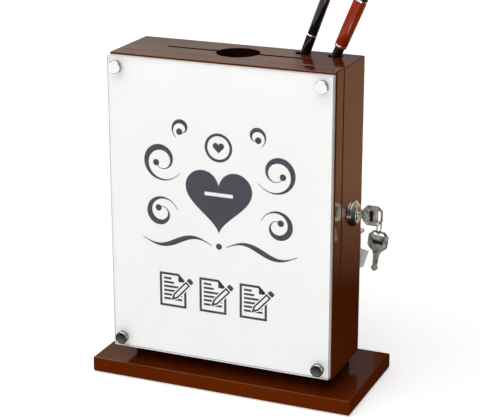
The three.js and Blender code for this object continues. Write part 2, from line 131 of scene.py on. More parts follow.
def addRod(axis, radius, start, end, place, sides=48, name="rod"):
    middle = Vector(place)
    middle["xyz".index(axis)] = (start + end) / 2
    bpy.ops.object.select_all(action="DESELECT")
    bpy.ops.mesh.primitive_cylinder_add(vertices=sides, radius=radius, depth=abs(end - start),
                                        location=middle, rotation=turnTo[axis])
    return settle(bpy.context.object, name)


def turnPiece(name, axis, profile, place, steps=64, closed=False):
    # spins (radius, along) pairs about the axis; a closed profile makes a tube
    mesh = bpy.data.meshes.new(name)
    count = len(profile)
    edges = [(i, i + 1) for i in range(count - 1)] + ([(count - 1, 0)] if closed else [])
    mesh.from_pydata([(radius, 0, along) for radius, along in profile], edges, [])
    piece = addObject(name, mesh)
    selectOnly(piece)
    bpy.ops.object.mode_set(mode="EDIT")
    bpy.ops.mesh.select_all(action="SELECT")
    bpy.ops.mesh.spin(steps=steps, angle=tau, center=(0, 0, 0), axis=(0, 0, 1))
    bpy.ops.mesh.select_all(action="SELECT")
    bpy.ops.mesh.remove_doubles(threshold=samePoint)
    bpy.ops.mesh.normals_make_consistent(inside=False)
    bpy.ops.object.mode_set(mode="OBJECT")
    piece.rotation_euler = turnTo[axis]
    piece.location = place
    return settle(piece, name)


def cutAway(piece, *tools):
    for tool in tools:
        addModifier(piece, "BOOLEAN", operation="DIFFERENCE", object=tool, solver="EXACT")
        bpy.data.objects.remove(tool)
    return piece


def unite(piece, *others):
    for other in others:
        addModifier(piece, "BOOLEAN", operation="UNION", object=other, solver="EXACT")
        bpy.data.objects.remove(other)
    return piece


def roundEdges(piece, width, segments=3, sharp=35):
    addModifier(piece, "BEVEL", width=width, segments=segments, limit_method="ANGLE",
                angle_limit=math.radians(sharp), use_clamp_overlap=False)
    return piece


def smooth(piece, angle=40, weighted=True):
    selectOnly(piece)
    bpy.ops.object.shade_smooth_by_angle(angle=math.radians(angle))
    if weighted:
        addModifier(piece, "WEIGHTED_NORMAL", keep_sharp=True, weight=80)
    return piece


def copyNode(node, name):
    # a loose-triangle CAD mesh, merged into clean flat faces
    piece = addObject(name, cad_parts[node].data.copy())
    piece.data.name = name
    piece.data.materials.clear()
    selectOnly(piece)
    bpy.ops.mesh.customdata_custom_splitnormals_clear()
    return editMesh(piece, lambda: bpy.ops.mesh.remove_doubles(threshold=samePoint),
                    lambda: bpy.ops.mesh.dissolve_limited(angle_limit=math.radians(0.5)))


def placeCopy(template, name, matrix):
    piece = addObject(name, template.data.copy())
    piece.data.name = name
    piece.data.transform(matrix)
    return piece


def declarePiece(piece, body, slot, *nodes):
    if nodes:
        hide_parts(*nodes)
    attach(piece, body)
    return piece


def finishPiece(piece, body, material, slot, *nodes):
    piece.data.materials.clear()
    piece.data.materials.append(material)
    return declarePiece(piece, body, slot, *nodes)


def nodeMiddle(node):
    low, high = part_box(node)
    return (low + high) / 2


# finishes: two tones, a roughness range and a fine relief, all on Object coordinates

def setInputs(node, values):
    for socket, value in values.items():
        node.inputs[socket].default_value = value


def noiseAt(tree, scale, detail=3, stretch=(1, 1, 1)):
    place = tree.nodes.new("ShaderNodeTexCoord")
    turn = tree.nodes.new("ShaderNodeMapping")
    turn.inputs["Scale"].default_value = stretch
    noise = tree.nodes.new("ShaderNodeTexNoise")
    setInputs(noise, {"Scale": scale, "Detail": detail})
    tree.links.new(place.outputs["Object"], turn.inputs["Vector"])
    tree.links.new(turn.outputs["Vector"], noise.inputs["Vector"])
    return noise.outputs["Fac"]


def rangeOf(tree, value, low, high, fromLow=0.3, fromHigh=0.7):
    fit = tree.nodes.new("ShaderNodeMapRange")
    setInputs(fit, {"From Min": fromLow, "From Max": fromHigh, "To Min": low, "To Max": high})
    tree.links.new(value, fit.inputs["Value"])
    return fit.outputs["Result"]


def blendTones(tree, factor, first, second):
    mix = tree.nodes.new("ShaderNodeMix")
    mix.data_type = "RGBA"
    mix.inputs["A"].default_value = (*first, 1)
    mix.inputs["B"].default_value = (*second, 1)
    tree.links.new(factor, mix.inputs["Factor"])
    return mix.outputs["Result"]


def makeFinish(name, **look):
    finish = bpy.data.materials.new(name)
    finish.use_nodes = True
    tree = finish.node_tree
    shader = tree.nodes["Principled BSDF"]
    tone = noiseAt(tree, look["toneScale"], 4, look.get("toneStretch", (1, 1, 1)))
    color = blendTones(tree, rangeOf(tree, tone, 0, 1), look["dark"], look["light"])
    tree.links.new(color, shader.inputs["Base Color"])
    wear = noiseAt(tree, look["wearScale"], 3, look.get("wearStretch", (1, 1, 1)))
    tree.links.new(rangeOf(tree, wear, *look["rough"]), shader.inputs["Roughness"])
    reliefScale, strength, depth = look["relief"]
    bump = tree.nodes.new("ShaderNodeBump")
    setInputs(bump, {"Strength": strength, "Distance": depth})
    relief = noiseAt(tree, reliefScale, 2, look.get("reliefStretch", (1, 1, 1)))
    tree.links.new(relief, bump.inputs["Height"])
    tree.links.new(bump.outputs["Normal"], shader.inputs["Normal"])
    setInputs(shader, {"Metallic": look.get("metal", 0), "IOR": look.get("ior", 1.5),
                       "Transmission Weight": look.get("clear", 0), "Alpha": look.get("solid", 1),
                       "Specular Tint": (*look.get("glossTint", (1, 1, 1)), 1)})
    finish.diffuse_color = (*look["light"], 1)
    return finish


lacquer = makeFinish("brownLacquer",
    dark=(0.102, 0.0142, 0.0004), light=(0.122, 0.0182, 0.0008), toneScale=9, wearScale=30,
    rough=(0.09, 0.14), relief=(330, 0.05, 0.12 * mm), ior=1.3, glossTint=(1.0, 0.66, 0.36))
# painted shade: a near-black finish for the walls inside the top's holes
paintedHoleShade = makeFinish("paintedHoleShade",
    dark=(0.012, 0.0025, 0.0008), light=(0.020, 0.0045, 0.0012), toneScale=120, wearScale=200,
    rough=(0.45, 0.65), relief=(900, 0.3, 0.1 * mm), ior=1.15)
cutBoard = makeFinish("sawnBoard",
    dark=(0.34, 0.2, 0.1), light=(0.5, 0.33, 0.18), toneScale=60, toneStretch=(0.15, 1, 1),
    wearScale=200, rough=(0.6, 0.85), relief=(900, 0.5, 0.2 * mm), reliefStretch=(0.1, 1, 1))
darkHardboard = makeFinish("darkHardboard",
    dark=(0.075, 0.022, 0.008), light=(0.12, 0.04, 0.015), toneScale=700, wearScale=120,
    rough=(0.38, 0.55), relief=(1500, 0.35, 0.1 * mm))
blackFoam = makeFinish("blackFoam",
    dark=(0.008, 0.008, 0.008), light=(0.025, 0.025, 0.026), toneScale=1500, wearScale=500,
    rough=(0.85, 1.0), relief=(2200, 0.8, 0.3 * mm))
whiteBoard = makeFinish("whiteBoard",
    dark=(0.80, 0.81, 0.82), light=(0.84, 0.84, 0.84), toneScale=40, wearScale=60, rough=(0.3, 0.42),
    relief=(700, 0.1, 0.05 * mm))
whitePaper = makeFinish("whitePaper",
    dark=(0.885, 0.885, 0.885), light=(0.905, 0.905, 0.905), toneScale=900, wearScale=300,
    rough=(0.75, 0.9), relief=(2600, 0.15, 0.02 * mm))
plumInk = makeFinish("plumInk",
    dark=(0.020, 0.014, 0.032), light=(0.028, 0.020, 0.042), toneScale=1200, wearScale=500,
    rough=(0.55, 0.7), relief=(2600, 0.1, 0.02 * mm))
acrylic = makeFinish("clearAcrylic",
    dark=(0.99, 0.99, 0.985), light=(0.995, 0.995, 0.99), toneScale=20, wearScale=90,
    rough=(0.0, 0.02), relief=(40, 0.01, 0.02 * mm), ior=1.2, clear=1)
sawnAcrylic = makeFinish("sawnAcrylic",
    dark=(0.86, 0.87, 0.87), light=(0.92, 0.92, 0.92), toneScale=60, wearScale=90, rough=(0.35, 0.5),
    relief=(900, 0.2, 0.05 * mm))
frosted = makeFinish("frostedAcrylic",
    dark=(0.78, 0.76, 0.82), light=(0.85, 0.83, 0.88), toneScale=30, wearScale=90, rough=(0.25, 0.4),
    relief=(60, 0.02, 0.02 * mm), ior=1.45, solid=0.72)
chrome = makeFinish("polishedChrome",
    dark=(0.80, 0.80, 0.81), light=(0.88, 0.88, 0.88), toneScale=300, wearScale=400,
    rough=(0.03, 0.07), relief=(900, 0.03, 0.02 * mm), metal=1)
# painted reflection: a darker copy of the chrome, standing in for the dark reflections on the caps' rims
capRimPaintedReflection = makeFinish("capRimPaintedReflection",
    dark=(0.22, 0.22, 0.21), light=(0.42, 0.42, 0.40), toneScale=300, wearScale=400,
    rough=(0.06, 0.12), relief=(900, 0.03, 0.02 * mm), metal=1)
zincSteel = makeFinish("zincSteel",
    dark=(0.47, 0.47, 0.46), light=(0.62, 0.62, 0.60), toneScale=420, wearScale=700,
    wearStretch=(1, 1, 0.08), rough=(0.18, 0.38), relief=(1800, 0.25, 0.03 * mm),
    reliefStretch=(1, 1, 0.06), metal=1)
# partly painted reflection: nickel whose tone swings in patches from dark grey to bluish white, copying dark
# and bright reflections
lockNickelPaintedReflection = makeFinish("lockNickelPaintedReflection",
    dark=(0.19, 0.21, 0.22), light=(0.86, 0.94, 1.0), toneScale=130, wearScale=500, rough=(0.18, 0.34),
    relief=(900, 0.05, 0.03 * mm), metal=1)
# painted shade: a near-black metal for the floor of the keys' stamped windows
keyWindowPaintedShade = makeFinish("keyWindowPaintedShade",
    dark=(0.012, 0.012, 0.011), light=(0.03, 0.03, 0.028), toneScale=600, wearScale=900,
    rough=(0.35, 0.5), relief=(1500, 0.2, 0.03 * mm), metal=1)
# partly painted reflection: dark nickel whose tone swings in patches from near black to grey, copying dark
# and bright reflections
keyNickelPaintedReflection = makeFinish("keyNickelPaintedReflection",
    dark=(0.035, 0.034, 0.028), light=(0.36, 0.36, 0.31), toneScale=190, wearScale=900,
    wearStretch=(0.15, 1, 1), rough=(0.08, 0.2), relief=(1500, 0.2, 0.03 * mm),
    reliefStretch=(0.12, 1, 1), metal=1)
blackGloss = makeFinish("blackGloss",
    dark=(0.0025, 0.0025, 0.003), light=(0.005, 0.005, 0.0055), toneScale=80, wearScale=200,
    rough=(0.05, 0.12), relief=(500, 0.04, 0.05 * mm), ior=1.5)
redGloss = makeFinish("redGloss",
    dark=(0.36, 0.026, 0.003), light=(0.43, 0.036, 0.004), toneScale=80, wearScale=200,
    rough=(0.07, 0.14), relief=(500, 0.04, 0.05 * mm), ior=1.36)
print("finishes made:", len(bpy.data.materials))

# the lacquered shell: one box, hollowed from the front, with its holes

shell = dict(edge=1.3 * mm, rim=0.35 * mm, rebateWide=5 * mm, rebateDeep=3.5 * mm,
             slotLength=141.6 * mm, slotWide=4.8 * mm, slotY=-7.8 * mm, coinRadius=20.2 * mm,
             penRadius=7.25 * mm, penPlaces=[(55.2 * mm, 13 * mm), (86 * mm, 13 * mm)],
             lockRadius=8.4 * mm, pegRadius=1.5 * mm, overshoot=2 * mm, shadeInset=5 * mm)
left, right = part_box("left_board"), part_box("right_board")
bottom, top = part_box("bottom_board"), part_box("top_board")
innerLow = Vector((left[1].x, left[0].y, bottom[1].z))
innerHigh = Vector((right[0].x, left[1].y, top[0].z))
outerLow = Vector((left[0].x, left[0].y, bottom[0].z))
outerHigh = Vector((right[1].x, left[1].y, top[1].z))
lockPlace = nodeMiddle("lock_plug")


def makeShell():
    body = addBlock(outerLow, outerHigh, "lacqueredShell")
    roundEdges(body, shell["edge"], 4)
    past, wide, deep = shell["overshoot"], shell["rebateWide"], shell["rebateDeep"]
    hollow = addBlock((innerLow.x, innerLow.y - past, innerLow.z),
                      (innerHigh.x, innerHigh.y - deep, innerHigh.z))
    rebate = addBlock((innerLow.x - wide, outerHigh.y - deep - 0.01 * mm, innerLow.z - wide),
                      (innerHigh.x + wide, outerHigh.y + past, innerHigh.z + wide))
    slotY, slotRadius = shell["slotY"], shell["slotWide"] / 2
    below, above = innerHigh.z - past, outerHigh.z + past
    half = shell["slotLength"] / 2 - slotRadius
    slot = addBlock((-half, slotY - slotRadius, below), (half, slotY + slotRadius, above))
    ends = [addRod("z", slotRadius, below, above, (side * half, slotY, 0), 24) for side in (-1, 1)]
    coinHole = addRod("z", shell["coinRadius"], below, above, (0, slotY, 0), 96)
    penHoles = [addRod("z", shell["penRadius"], below, above, (x, y, 0), 56)
                for x, y in shell["penPlaces"]]
    lockHole = addRod("x", shell["lockRadius"], innerHigh.x - past, outerHigh.x + past, lockPlace, 56)
    pegHoles = [addRod("y", shell["pegRadius"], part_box(node)[0].y, outerHigh.y + past, nodeMiddle(node), 20)
                for node in ("tray_peg_1", "tray_peg_2")]
    cutAway(body, hollow, rebate, slot, *ends, coinHole, *penHoles, lockHole, *pegHoles)
    mergeClose(body, 0.03 * mm)
    roundEdges(body, shell["rim"], 3)
    return smooth(body)


def paintHoleShade(body):
    # painted shade: the sawn walls of the top's holes get a near-black finish; the flat faces keep the
    # lacquer
    body.data.materials.append(paintedHoleShade)
    low, high = innerHigh.z - 0.1 * mm, outerHigh.z - 0.3 * mm
    inset = shell["shadeInset"]
    for face in body.data.polygons:
        middle = face.center
        upright = low < middle.z < high and abs(face.normal.z) < 0.5
        inside = abs(middle.x) < outerHigh.x - inset and outerLow.y + inset < middle.y < outerHigh.y - inset
        if upright and inside:
            face.material_index = 1


shellPiece = finishPiece(makeShell(), "cabinet", lacquer, "lacquer",
                         "left_board", "right_board", "top_board", "bottom_board")
paintHoleShade(shellPiece)
print("shell made")

# door, base and neck: boards with eased edges

boards = dict(doorEdge=1.3 * mm, baseEdge=1.3 * mm, neckEdge=0.5 * mm, segments=4,
              sinkRadius=4.4 * mm, sinkDepth=3.2 * mm, sinkEdge=0.2 * mm)


def makeBoard(node, name, edge):
    piece = addBlock(*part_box(node), name)
    roundEdges(piece, edge, boards["segments"])
    return piece


door = smooth(makeBoard("door_board", "lacqueredDoor", boards["doorEdge"]))
finishPiece(door, "door", lacquer, "lacquer", "door_board")

baseBoard = makeBoard("base_board", "lacqueredBase", boards["baseEdge"])
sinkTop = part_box("base_board")[0].z + boards["sinkDepth"]
for number in (1, 2, 3, 4):
    place = nodeMiddle(f"base_screw_{number}")
    cutAway(baseBoard, addRod("z", boards["sinkRadius"], -1 * mm, sinkTop, place, 40))
mergeClose(baseBoard)
roundEdges(baseBoard, boards["sinkEdge"], 2)
finishPiece(smooth(baseBoard), "cabinet", lacquer, "lacquer", "base_board")

neck = smooth(makeBoard("neck_block", "lacqueredNeck", boards["neckEdge"]))
finishPiece(neck, "cabinet", lacquer, "lacquer", "neck_block")
print("door, base and neck made")

# inside and back: panel, pen block and pad keep their CAD holes

for node, name, edge, material, slot in (
        ("back_panel", "hardboardBack", 0.35 * mm, darkHardboard, "hardboard"),
        ("pen_block", "penHoldBlock", 0.3 * mm, cutBoard, "raw_wood"),
        ("base_pad", "foamPad", 0.25 * mm, blackFoam, "foam")):
    piece = copyNode(node, name)
    roundEdges(piece, edge, 2)
    finishPiece(smooth(piece), "cabinet", material, slot, node)

# sign: white backing, printed sheet, clear cover

sign = dict(backingEdge=0.25 * mm, coverEdge=0.2 * mm)
backing = copyNode("sign_backing", "signBacking")
roundEdges(backing, sign["backingEdge"], 2)
finishPiece(smooth(backing), "door", whiteBoard, "white_plastic", "sign_backing")
sheet = copyNode("sign_sheet", "signSheet")
finishPiece(smooth(sheet, weighted=False), "door", whitePaper, "printed_paper", "sign_sheet")
cover = copyNode("sign_cover", "signCover")
roundEdges(cover, sign["coverEdge"], 2)
finishPiece(smooth(cover), "door", acrylic, "clear_acrylic", "sign_cover")
cover.data.materials.append(sawnAcrylic)
coverLow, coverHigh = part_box("sign_cover")
for face in cover.data.polygons:
    middle = face.center
    atSide = min(middle.x - coverLow.x, coverHigh.x - middle.x) < 0.05 * mm
    atEnd = min(middle.z - coverLow.z, coverHigh.z - middle.z) < 0.05 * mm
    if (atSide or atEnd) and abs(face.normal.y) < 0.3:
        face.material_index = 1  # sawn edges are frosted
cover.visible_shadow = False  # a clear sheet hardly shades the print behind it
print("sign layers made")

# screw caps and studs

cap = dict(radius=6.15 * mm, rounding=0.75 * mm, bore=2.35 * mm, boreDepth=2.9 * mm, dish=0.12 * mm,
           backEdge=0.3 * mm, dishRim=1.6 * mm)


def makeCap(length):
    radius, bore, depth, bend = cap["radius"], cap["bore"], cap["boreDepth"], cap["rounding"]
    edge = cap["backEdge"]
    profile = [(0, depth), (bore, depth), (bore, 0), (radius - edge, 0), (radius, edge)]
    for step in range(7):
        angle = math.radians(15 * step)
        profile.append((radius - bend * (1 - math.cos(angle)), length - bend * (1 - math.sin(angle))))
    profile += [(radius - cap["dishRim"], length - cap["dish"]), (0, length - cap["dish"])]
    template = smooth(turnPiece("capTemplate", "z", profile, (0, 0, 0), 72), 28, weighted=False)
    template.data.materials.append(chrome)
    template.data.materials.append(capRimPaintedReflection)
    for face in template.data.polygons:
        if face.normal.z < 0.8:
            face.material_index = 1  # painted dark reflection: the turned rim gets a darker chrome than the polished face
    return template


capLow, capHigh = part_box("sign_cap_upper_left")
capTemplate = makeCap(capHigh.y - capLow.y)
towardFront = Matrix.Rotation(math.pi / 2, 4, "X")  # local Z looks to -Y
for corner in ("lower_left", "upper_left", "lower_right", "upper_right"):
    node = f"sign_cap_{corner}"
    middle = nodeMiddle(node)
    place = Matrix.Translation((middle.x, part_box(node)[1].y, middle.z)) @ towardFront
    name = "screwCap" + "".join(word.capitalize() for word in corner.split("_"))
    capPiece = placeCopy(capTemplate, name, place)
    capPiece.visible_shadow = False
    declarePiece(capPiece, "door", "chrome", node)
bpy.data.objects.remove(capTemplate)
for number in (1, 2, 3, 4):
    stud = copyNode(f"sign_stud_{number}", f"signStud{number}")
    roundEdges(stud, 0.3 * mm, 2)
    finishPiece(smooth(stud, 50), "door", zincSteel, "steel", f"sign_stud_{number}")
print("caps and studs made")

# print on the sheet: flat ink shapes, drawn in millimetres as (x, z) on the sheet

ink = dict(thick=0.06 * mm, heart=33, heartBase=157, coinHeight=239, coinRadius=13.5,
           iconPlaces=[(-44.2, 95.4), (-3.4, 95.4), (37.2, 95.4)], iconScale=1.1, layer=0.012 * mm)
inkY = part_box("sign_sheet")[0].y
inkPieces = []


def plate(outline, thick, name, y=0.0):
    # a closed plate in the XZ plane, as thick as asked along Y
    mesh = bpy.data.meshes.new(name)
    mesh.from_pydata([(x, y - thick / 2, z) for x, z in outline], [], [list(range(len(outline)))])
    return thicken(mesh, thick, name)


def thicken(mesh, thick, name):
    piece = addObject(name, mesh)
    move = {"value": (0, thick, 0)}
    editMesh(piece, lambda: bpy.ops.mesh.extrude_region_move(TRANSFORM_OT_translate=move))
    return faceOut(piece)


def inkShape(outline, *holes):
    shape = plate([(x * mm, z * mm) for x, z in outline], ink["thick"], "ink", inkY)
    for hole in holes:
        cutAway(shape, plate([(x * mm, z * mm) for x, z in hole], 4 * ink["thick"], "hole", inkY))
    inkPieces.append(shape)


def inkStroke(points, widths):
    # a pen stroke whose width changes along it, as a strip of quads
    rims = []
    for i, (x, z) in enumerate(points):
        before, after = points[max(i - 1, 0)], points[min(i + 1, len(points) - 1)]
        dx, dz = after[0] - before[0], after[1] - before[1]
        reach = widths[i] / 2 / (math.hypot(dx, dz) or 1)
        rims += [((x - dz * reach) * mm, inkY - ink["thick"] / 2, (z + dx * reach) * mm),
                 ((x + dz * reach) * mm, inkY - ink["thick"] / 2, (z - dx * reach) * mm)]
    mesh = bpy.data.meshes.new("stroke")
    mesh.from_pydata(rims, [], [(2 * i, 2 * i + 1, 2 * i + 3, 2 * i + 2) for i in range(len(points) - 1)])
    inkPieces.append(thicken(mesh, ink["thick"], "ink"))


def circle(x, z, radius, steps=48):
    angles = [tau * k / steps for k in range(steps)]
    return [(x + radius * math.cos(angle), z + radius * math.sin(angle)) for angle in angles]


def swirl(x, z, outer, inner, start, turns, side=1, swell=6.2, steps=70):
    # a spiral running inwards, swelling in the middle of its length and ending in a ball
    points, widths = [], []
    for k in range(steps):
        t = k / (steps - 1)
        radius = outer + (inner - outer) * t ** 0.8
        angle = math.radians(start) + tau * turns * t
        points.append((side * (x + radius * math.cos(angle)), z + radius * math.sin(angle)))
        widths.append(0.6 + swell * math.sin(math.pi * min(1, t * 1.12)) ** 2 * (1 - 0.45 * t))
    inkStroke(points, widths)
    inkShape(circle(*points[-1], 3.1))


def heartOutline(scale, z, steps=80):
    outline = []
    for k in range(steps):
        t = tau * (k + 0.5) / steps
        x = 16 * math.sin(t) ** 3
        y = 13 * math.cos(t) - 5 * math.cos(2 * t) - 2 * math.cos(3 * t) - math.cos(4 * t)
        outline.append((x * scale / 16, z + (y + 17) * scale / 16))
    return outline


def rectangle(left, right, low, high):
    return [(left, low), (right, low), (right, high), (left, high)]


def drawEmblem():
    # a heart with a coin above its slot, between scrolls
    base, coinZ, coin = ink["heartBase"], ink["coinHeight"], ink["coinRadius"]
    inkShape(heartOutline(ink["heart"], base), rectangle(-14, 14, base + 36, base + 39.4))
    inkShape(circle(0, coinZ, coin), circle(0, coinZ, coin - 2.6))
    inkShape(heartOutline(5.6, coinZ - 5.6, 40))
    for side in (-1, 1):
        swirl(57, 221, 21, 6, -150, 1.35, side)
        swirl(58, 171, 17, 5, 165, -1.3, side)
        swirl(37, 253, 10, 3.4, -60, 1.0, side, 4.2)
        wave = [(side * (7 + 70 * k / 48), 145 + 5.5 * math.sin(tau * k / 48)) for k in range(49)]
        inkStroke(wave, [0.7 + 4.4 * math.sin(math.pi * k / 48) ** 2 for k in range(49)])
    inkShape(circle(0, 145, 3))


def drawSheetIcon(x, z):
    # a written sheet with a folded corner
    low, high, leftEdge, rightEdge = z - 15.4, z + 15.4, x - 15.2, x + 9.6
    fold, line, gap = 7, 2.1, 0.4
    bend, inset = 0.9, leftEdge + 4
    outer = [(leftEdge, low), (rightEdge, low), (rightEdge, high - fold), (rightEdge - fold, high),
             (leftEdge, high)]
    inner = [(leftEdge + line, low + line), (rightEdge - line, low + line),
             (rightEdge - line, high - fold - bend), (rightEdge - fold - bend, high - line),
             (leftEdge + line, high - line)]
    inkShape(outer, inner)
    corner = rightEdge - fold - gap
    inkShape([(corner, high - gap), (corner, high - fold - gap), (rightEdge - gap, high - fold - gap)])
    for row, share in enumerate((0.42, 0.55, 1, 1, 1, 1)):  # rows of writing, as shares of a full one
        rowZ = high - 5.2 - row * 3.7
        inkShape(rectangle(inset, inset + 16.8 * share, rowZ - 0.95, rowZ + 0.95))


def drawPencil(x, z, spread=0.0):
    # tip at the lower left, body up to the right; spread makes the pale edge round it
    tip, along, across = Vector((x - 4.6, z - 9.6)), Vector((0.68, 0.733)), Vector((-0.733, 0.68))
    half, end = 2.7 + spread, 28.4

    def at(distance, side):
        point = tip + along * distance + across * side
        return (point.x, point.y)

    if spread:
        inkShape([at(-1.6 * spread, 0), at(6, half), at(end + spread, half), at(end + spread, -half),
                  at(6, -half)])
        return
    inkShape([at(0, 0), at(2.4, 1.1), at(2.4, -1.1)])
    inkShape([at(2, 0.9), at(6, half), at(23.4, half), at(23.4, -half), at(6, -half), at(2, -0.9)],
             [at(4.2, 0), at(6.8, 1.25), at(21.7, 1.25), at(21.7, -1.25), at(6.8, -1.25)])
    inkShape([at(24.4, half), at(end - 1, half), at(end, half - 1), at(end, 1 - half),
              at(end - 1, -half), at(24.4, -half)])


def joinInk(name, material):
    selectOnly(*inkPieces)
    if len(inkPieces) > 1:
        bpy.ops.object.join()
    piece = bpy.context.object
    piece.name = piece.data.name = name
    inkPieces.clear()
    finishPiece(faceOut(piece), "door", material, "printed_paper")


def atIcons(draw, *details):
    # draws at each icon's place and enlarges about it
    for x, z in ink["iconPlaces"]:
        first = len(inkPieces)
        draw(x, z, *details)
        about = Matrix.Translation((x * mm, 0, z * mm))
        grow = Matrix.Diagonal((ink["iconScale"], 1, ink["iconScale"], 1))
        for piece in inkPieces[first:]:
            piece.data.transform(about @ grow @ about.inverted())


drawEmblem()
atIcons(drawSheetIcon)
joinInk("signPrint", plumInk)
inkY -= ink["layer"]
atIcons(drawPencil, 0.9)
joinInk("pencilEdges", whitePaper)
inkY -= ink["layer"]
atIcons(drawPencil)
joinInk("pencilPrint", plumInk)
print("print drawn")

# screws: one template for each kind, with a cross recess, copied into place

thread = dict(pitch=0.9 * mm, root=0.72, start=0.6 * mm)  # root as a share of the shank
recess = dict(long=0.62, wide=0.14, deep=0.45, least=0.5 * mm)  # shares of the head
screwSets = dict(  # sizes are the head's radius and depth, the shank's radius, the length and the dome
    base=dict(body="cabinet", direction=(0, 0, -1), sunk=0.0, spins=(12, 63, 31, 78),
              sizes=(4 * mm, 2.6 * mm, 2 * mm, 38 * mm)),
    back=dict(body="cabinet", direction=(0, 1, 0), sunk=0.03 * mm, spins=(20, 55, 5, 70),
              sizes=(2.3 * mm, 1.2 * mm, 1.1 * mm, 12 * mm, 0.02 * mm)),
    strike=dict(body="door", direction=(0, 1, 0), sunk=0.03 * mm, spins=(35, 80),
                sizes=(2.6 * mm, 1.2 * mm, 1.2 * mm, 12 * mm, 0.02 * mm)))


def makeScrew(head, headDepth, shank, length, domed=0.0):
    # head face at local z 0, point towards -Z
    under = head if domed else head * 0.55
    profile = [(0, domed), (head * 0.55, domed * 0.7), (head * 0.96, 0.0), (head, -0.12 * mm),
               (under, -headDepth), (shank, -headDepth - (0 if domed else 0.3 * mm))]
    turns = int((length - headDepth - 2.2 * shank) / thread["pitch"])
    for k in range(turns):
        z = -headDepth - thread["start"] - k * thread["pitch"]
        profile += [(shank, z), (shank * thread["root"], z - thread["pitch"] / 2)]
    profile += [(shank * 0.7, -length + 1.6 * shank), (0, -length)]
    screw = turnPiece("screwTemplate", "z", profile, (0, 0, 0), 32)
    armLong, armWide = head * recess["long"], head * recess["wide"]
    deep = max(headDepth * recess["deep"], recess["least"])
    for x, y in ((armLong, armWide), (armWide, armLong)):
        cutAway(screw, addBlock((-x, -y, -deep), (x, y, domed + 1 * mm)))
    return smooth(screw, 32, weighted=False)


def outwards(place, direction, spin=0):
    turn = Vector((0, 0, 1)).rotation_difference(Vector(direction)).to_matrix().to_4x4()
    return Matrix.Translation(place) @ turn @ Matrix.Rotation(math.radians(spin), 4, "Z")


def headPlace(node, direction, sunk):
    # the middle of the node's end face on the head's side, sunk a little
    low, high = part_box(node)
    out = Vector(direction)
    return (low + high) / 2 + (high - low) / 2 * out - sunk * out


for kind, row in screwSets.items():
    template = makeScrew(*row["sizes"])
    for number, spin in enumerate(row["spins"], 1):
        node = f"{kind}_screw_{number}"
        place = outwards(headPlace(node, row["direction"], row["sunk"]), row["direction"], spin)
        screw = placeCopy(template, f"{kind}Screw{number}", place)
        finishPiece(screw, row["body"], zincSteel, "steel", node)
    bpy.data.objects.remove(template)
print("screws made")

# hinges: leaves with knuckles, pins and countersunk screws

hinge = dict(knuckle=2.6 * mm, bore=1.35 * mm, pin=1.1 * mm, leafThick=1.2 * mm, corner=1.6 * mm,
             outside=1.5 * mm, clear=3 * mm, reach=22 * mm, gap=8.5 * mm, middle=8.2 * mm, edge=0.18 * mm,
             screwStep=15 * mm, screwHead=2.2 * mm, screwHole=1.3 * mm, screwSunk=0.05 * mm)


def makeLeaf(node, name, pinNode, side, spans):
    low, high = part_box(node)
    axis = nodeMiddle(pinNode)
    outer = axis.x + hinge["outside"]
    inner = outer + hinge["leafThick"]
    near = axis.y + side * hinge["clear"]
    far = high.y if side > 0 else low.y
    leaf = addBlock((outer, min(near, far), low.z), (inner, max(near, far), high.z), name)
    roundPicked(leaf, hinge["corner"], 5,
                lambda a, b: abs(a.x - b.x) > 0.5 * mm and abs(a.y - far) < 0.01 * mm)
    root = near + side * 0.2 * mm
    for start, end in spans:
        bridge = addBlock((outer, min(axis.y, root), axis.z + start),
                          (inner, max(axis.y, root), axis.z + end))
        knuckle = addRod("z", hinge["knuckle"], axis.z + start, axis.z + end, axis, 40)
        unite(leaf, bridge, knuckle)
    cutAway(leaf, addRod("z", hinge["bore"], low.z - 1 * mm, high.z + 1 * mm, axis, 32))
    middleY = (near + far) / 2
    hole = hinge["screwHole"]
    sink = [(0, -1 * mm), (hinge["screwHead"] + 1.05 * mm, -1 * mm), (hole, 0.95 * mm), (hole, 3 * mm),
            (0, 3 * mm)]
    for step in (-1, 0, 1):
        place = (outer, middleY, axis.z + step * hinge["screwStep"])
        cutAway(leaf, turnPiece("sink", "x", sink, place, 32))
    mergeClose(leaf)
    roundEdges(leaf, hinge["edge"], 2, 50)
    return smooth(leaf, 35), outer, middleY


def makePin(name, node, axis):
    low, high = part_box(node)
    half = (high.z - low.z) / 2
    profile = [(0, -half), (1.4 * mm, -half), (2 * mm, -half + 0.5 * mm), (2 * mm, -half + 1 * mm),
               (hinge["pin"], -half + 1 * mm)]
    pin = turnPiece(name, "z", profile + [(radius, -z) for radius, z in reversed(profile)], axis, 40)
    return smooth(pin, 30, weighted=False)


hingeScrew = makeScrew(2.2 * mm, 1.1 * mm, 1.1 * mm, 10 * mm)
leafSpans = dict(cabinet=(1, [(-hinge["reach"], -hinge["gap"]), (hinge["gap"], hinge["reach"])]),
                 door=(-1, [(-hinge["middle"], hinge["middle"])]))
for level in ("lower", "upper"):
    pinNode = f"{level}_hinge_pin"
    axis = nodeMiddle(pinNode)
    for body, (side, spans) in leafSpans.items():
        node, word = f"{level}_hinge_{body}_leaf", body.capitalize()
        leaf, outer, middleY = makeLeaf(node, f"{level}Hinge{word}Leaf", pinNode, side, spans)
        finishPiece(leaf, body, zincSteel, "steel", node)
        for number, step in enumerate((-1, 0, 1), 1):
            place = (outer + hinge["screwSunk"], middleY, axis.z + step * hinge["screwStep"])
            turned = outwards(place, (-1, 0, 0), 25 * number)
            screw = placeCopy(hingeScrew, f"{level}{word}HingeScrew{number}", turned)
            finishPiece(screw, body, zincSteel, "steel")
    finishPiece(makePin(f"{level}HingePin", pinNode, axis), "cabinet", zincSteel, "steel", pinNode)
bpy.data.objects.remove(hingeScrew)
print("hinges made")

# cam lock: rosette with threaded barrel, nut, plug, cam, washer and screw

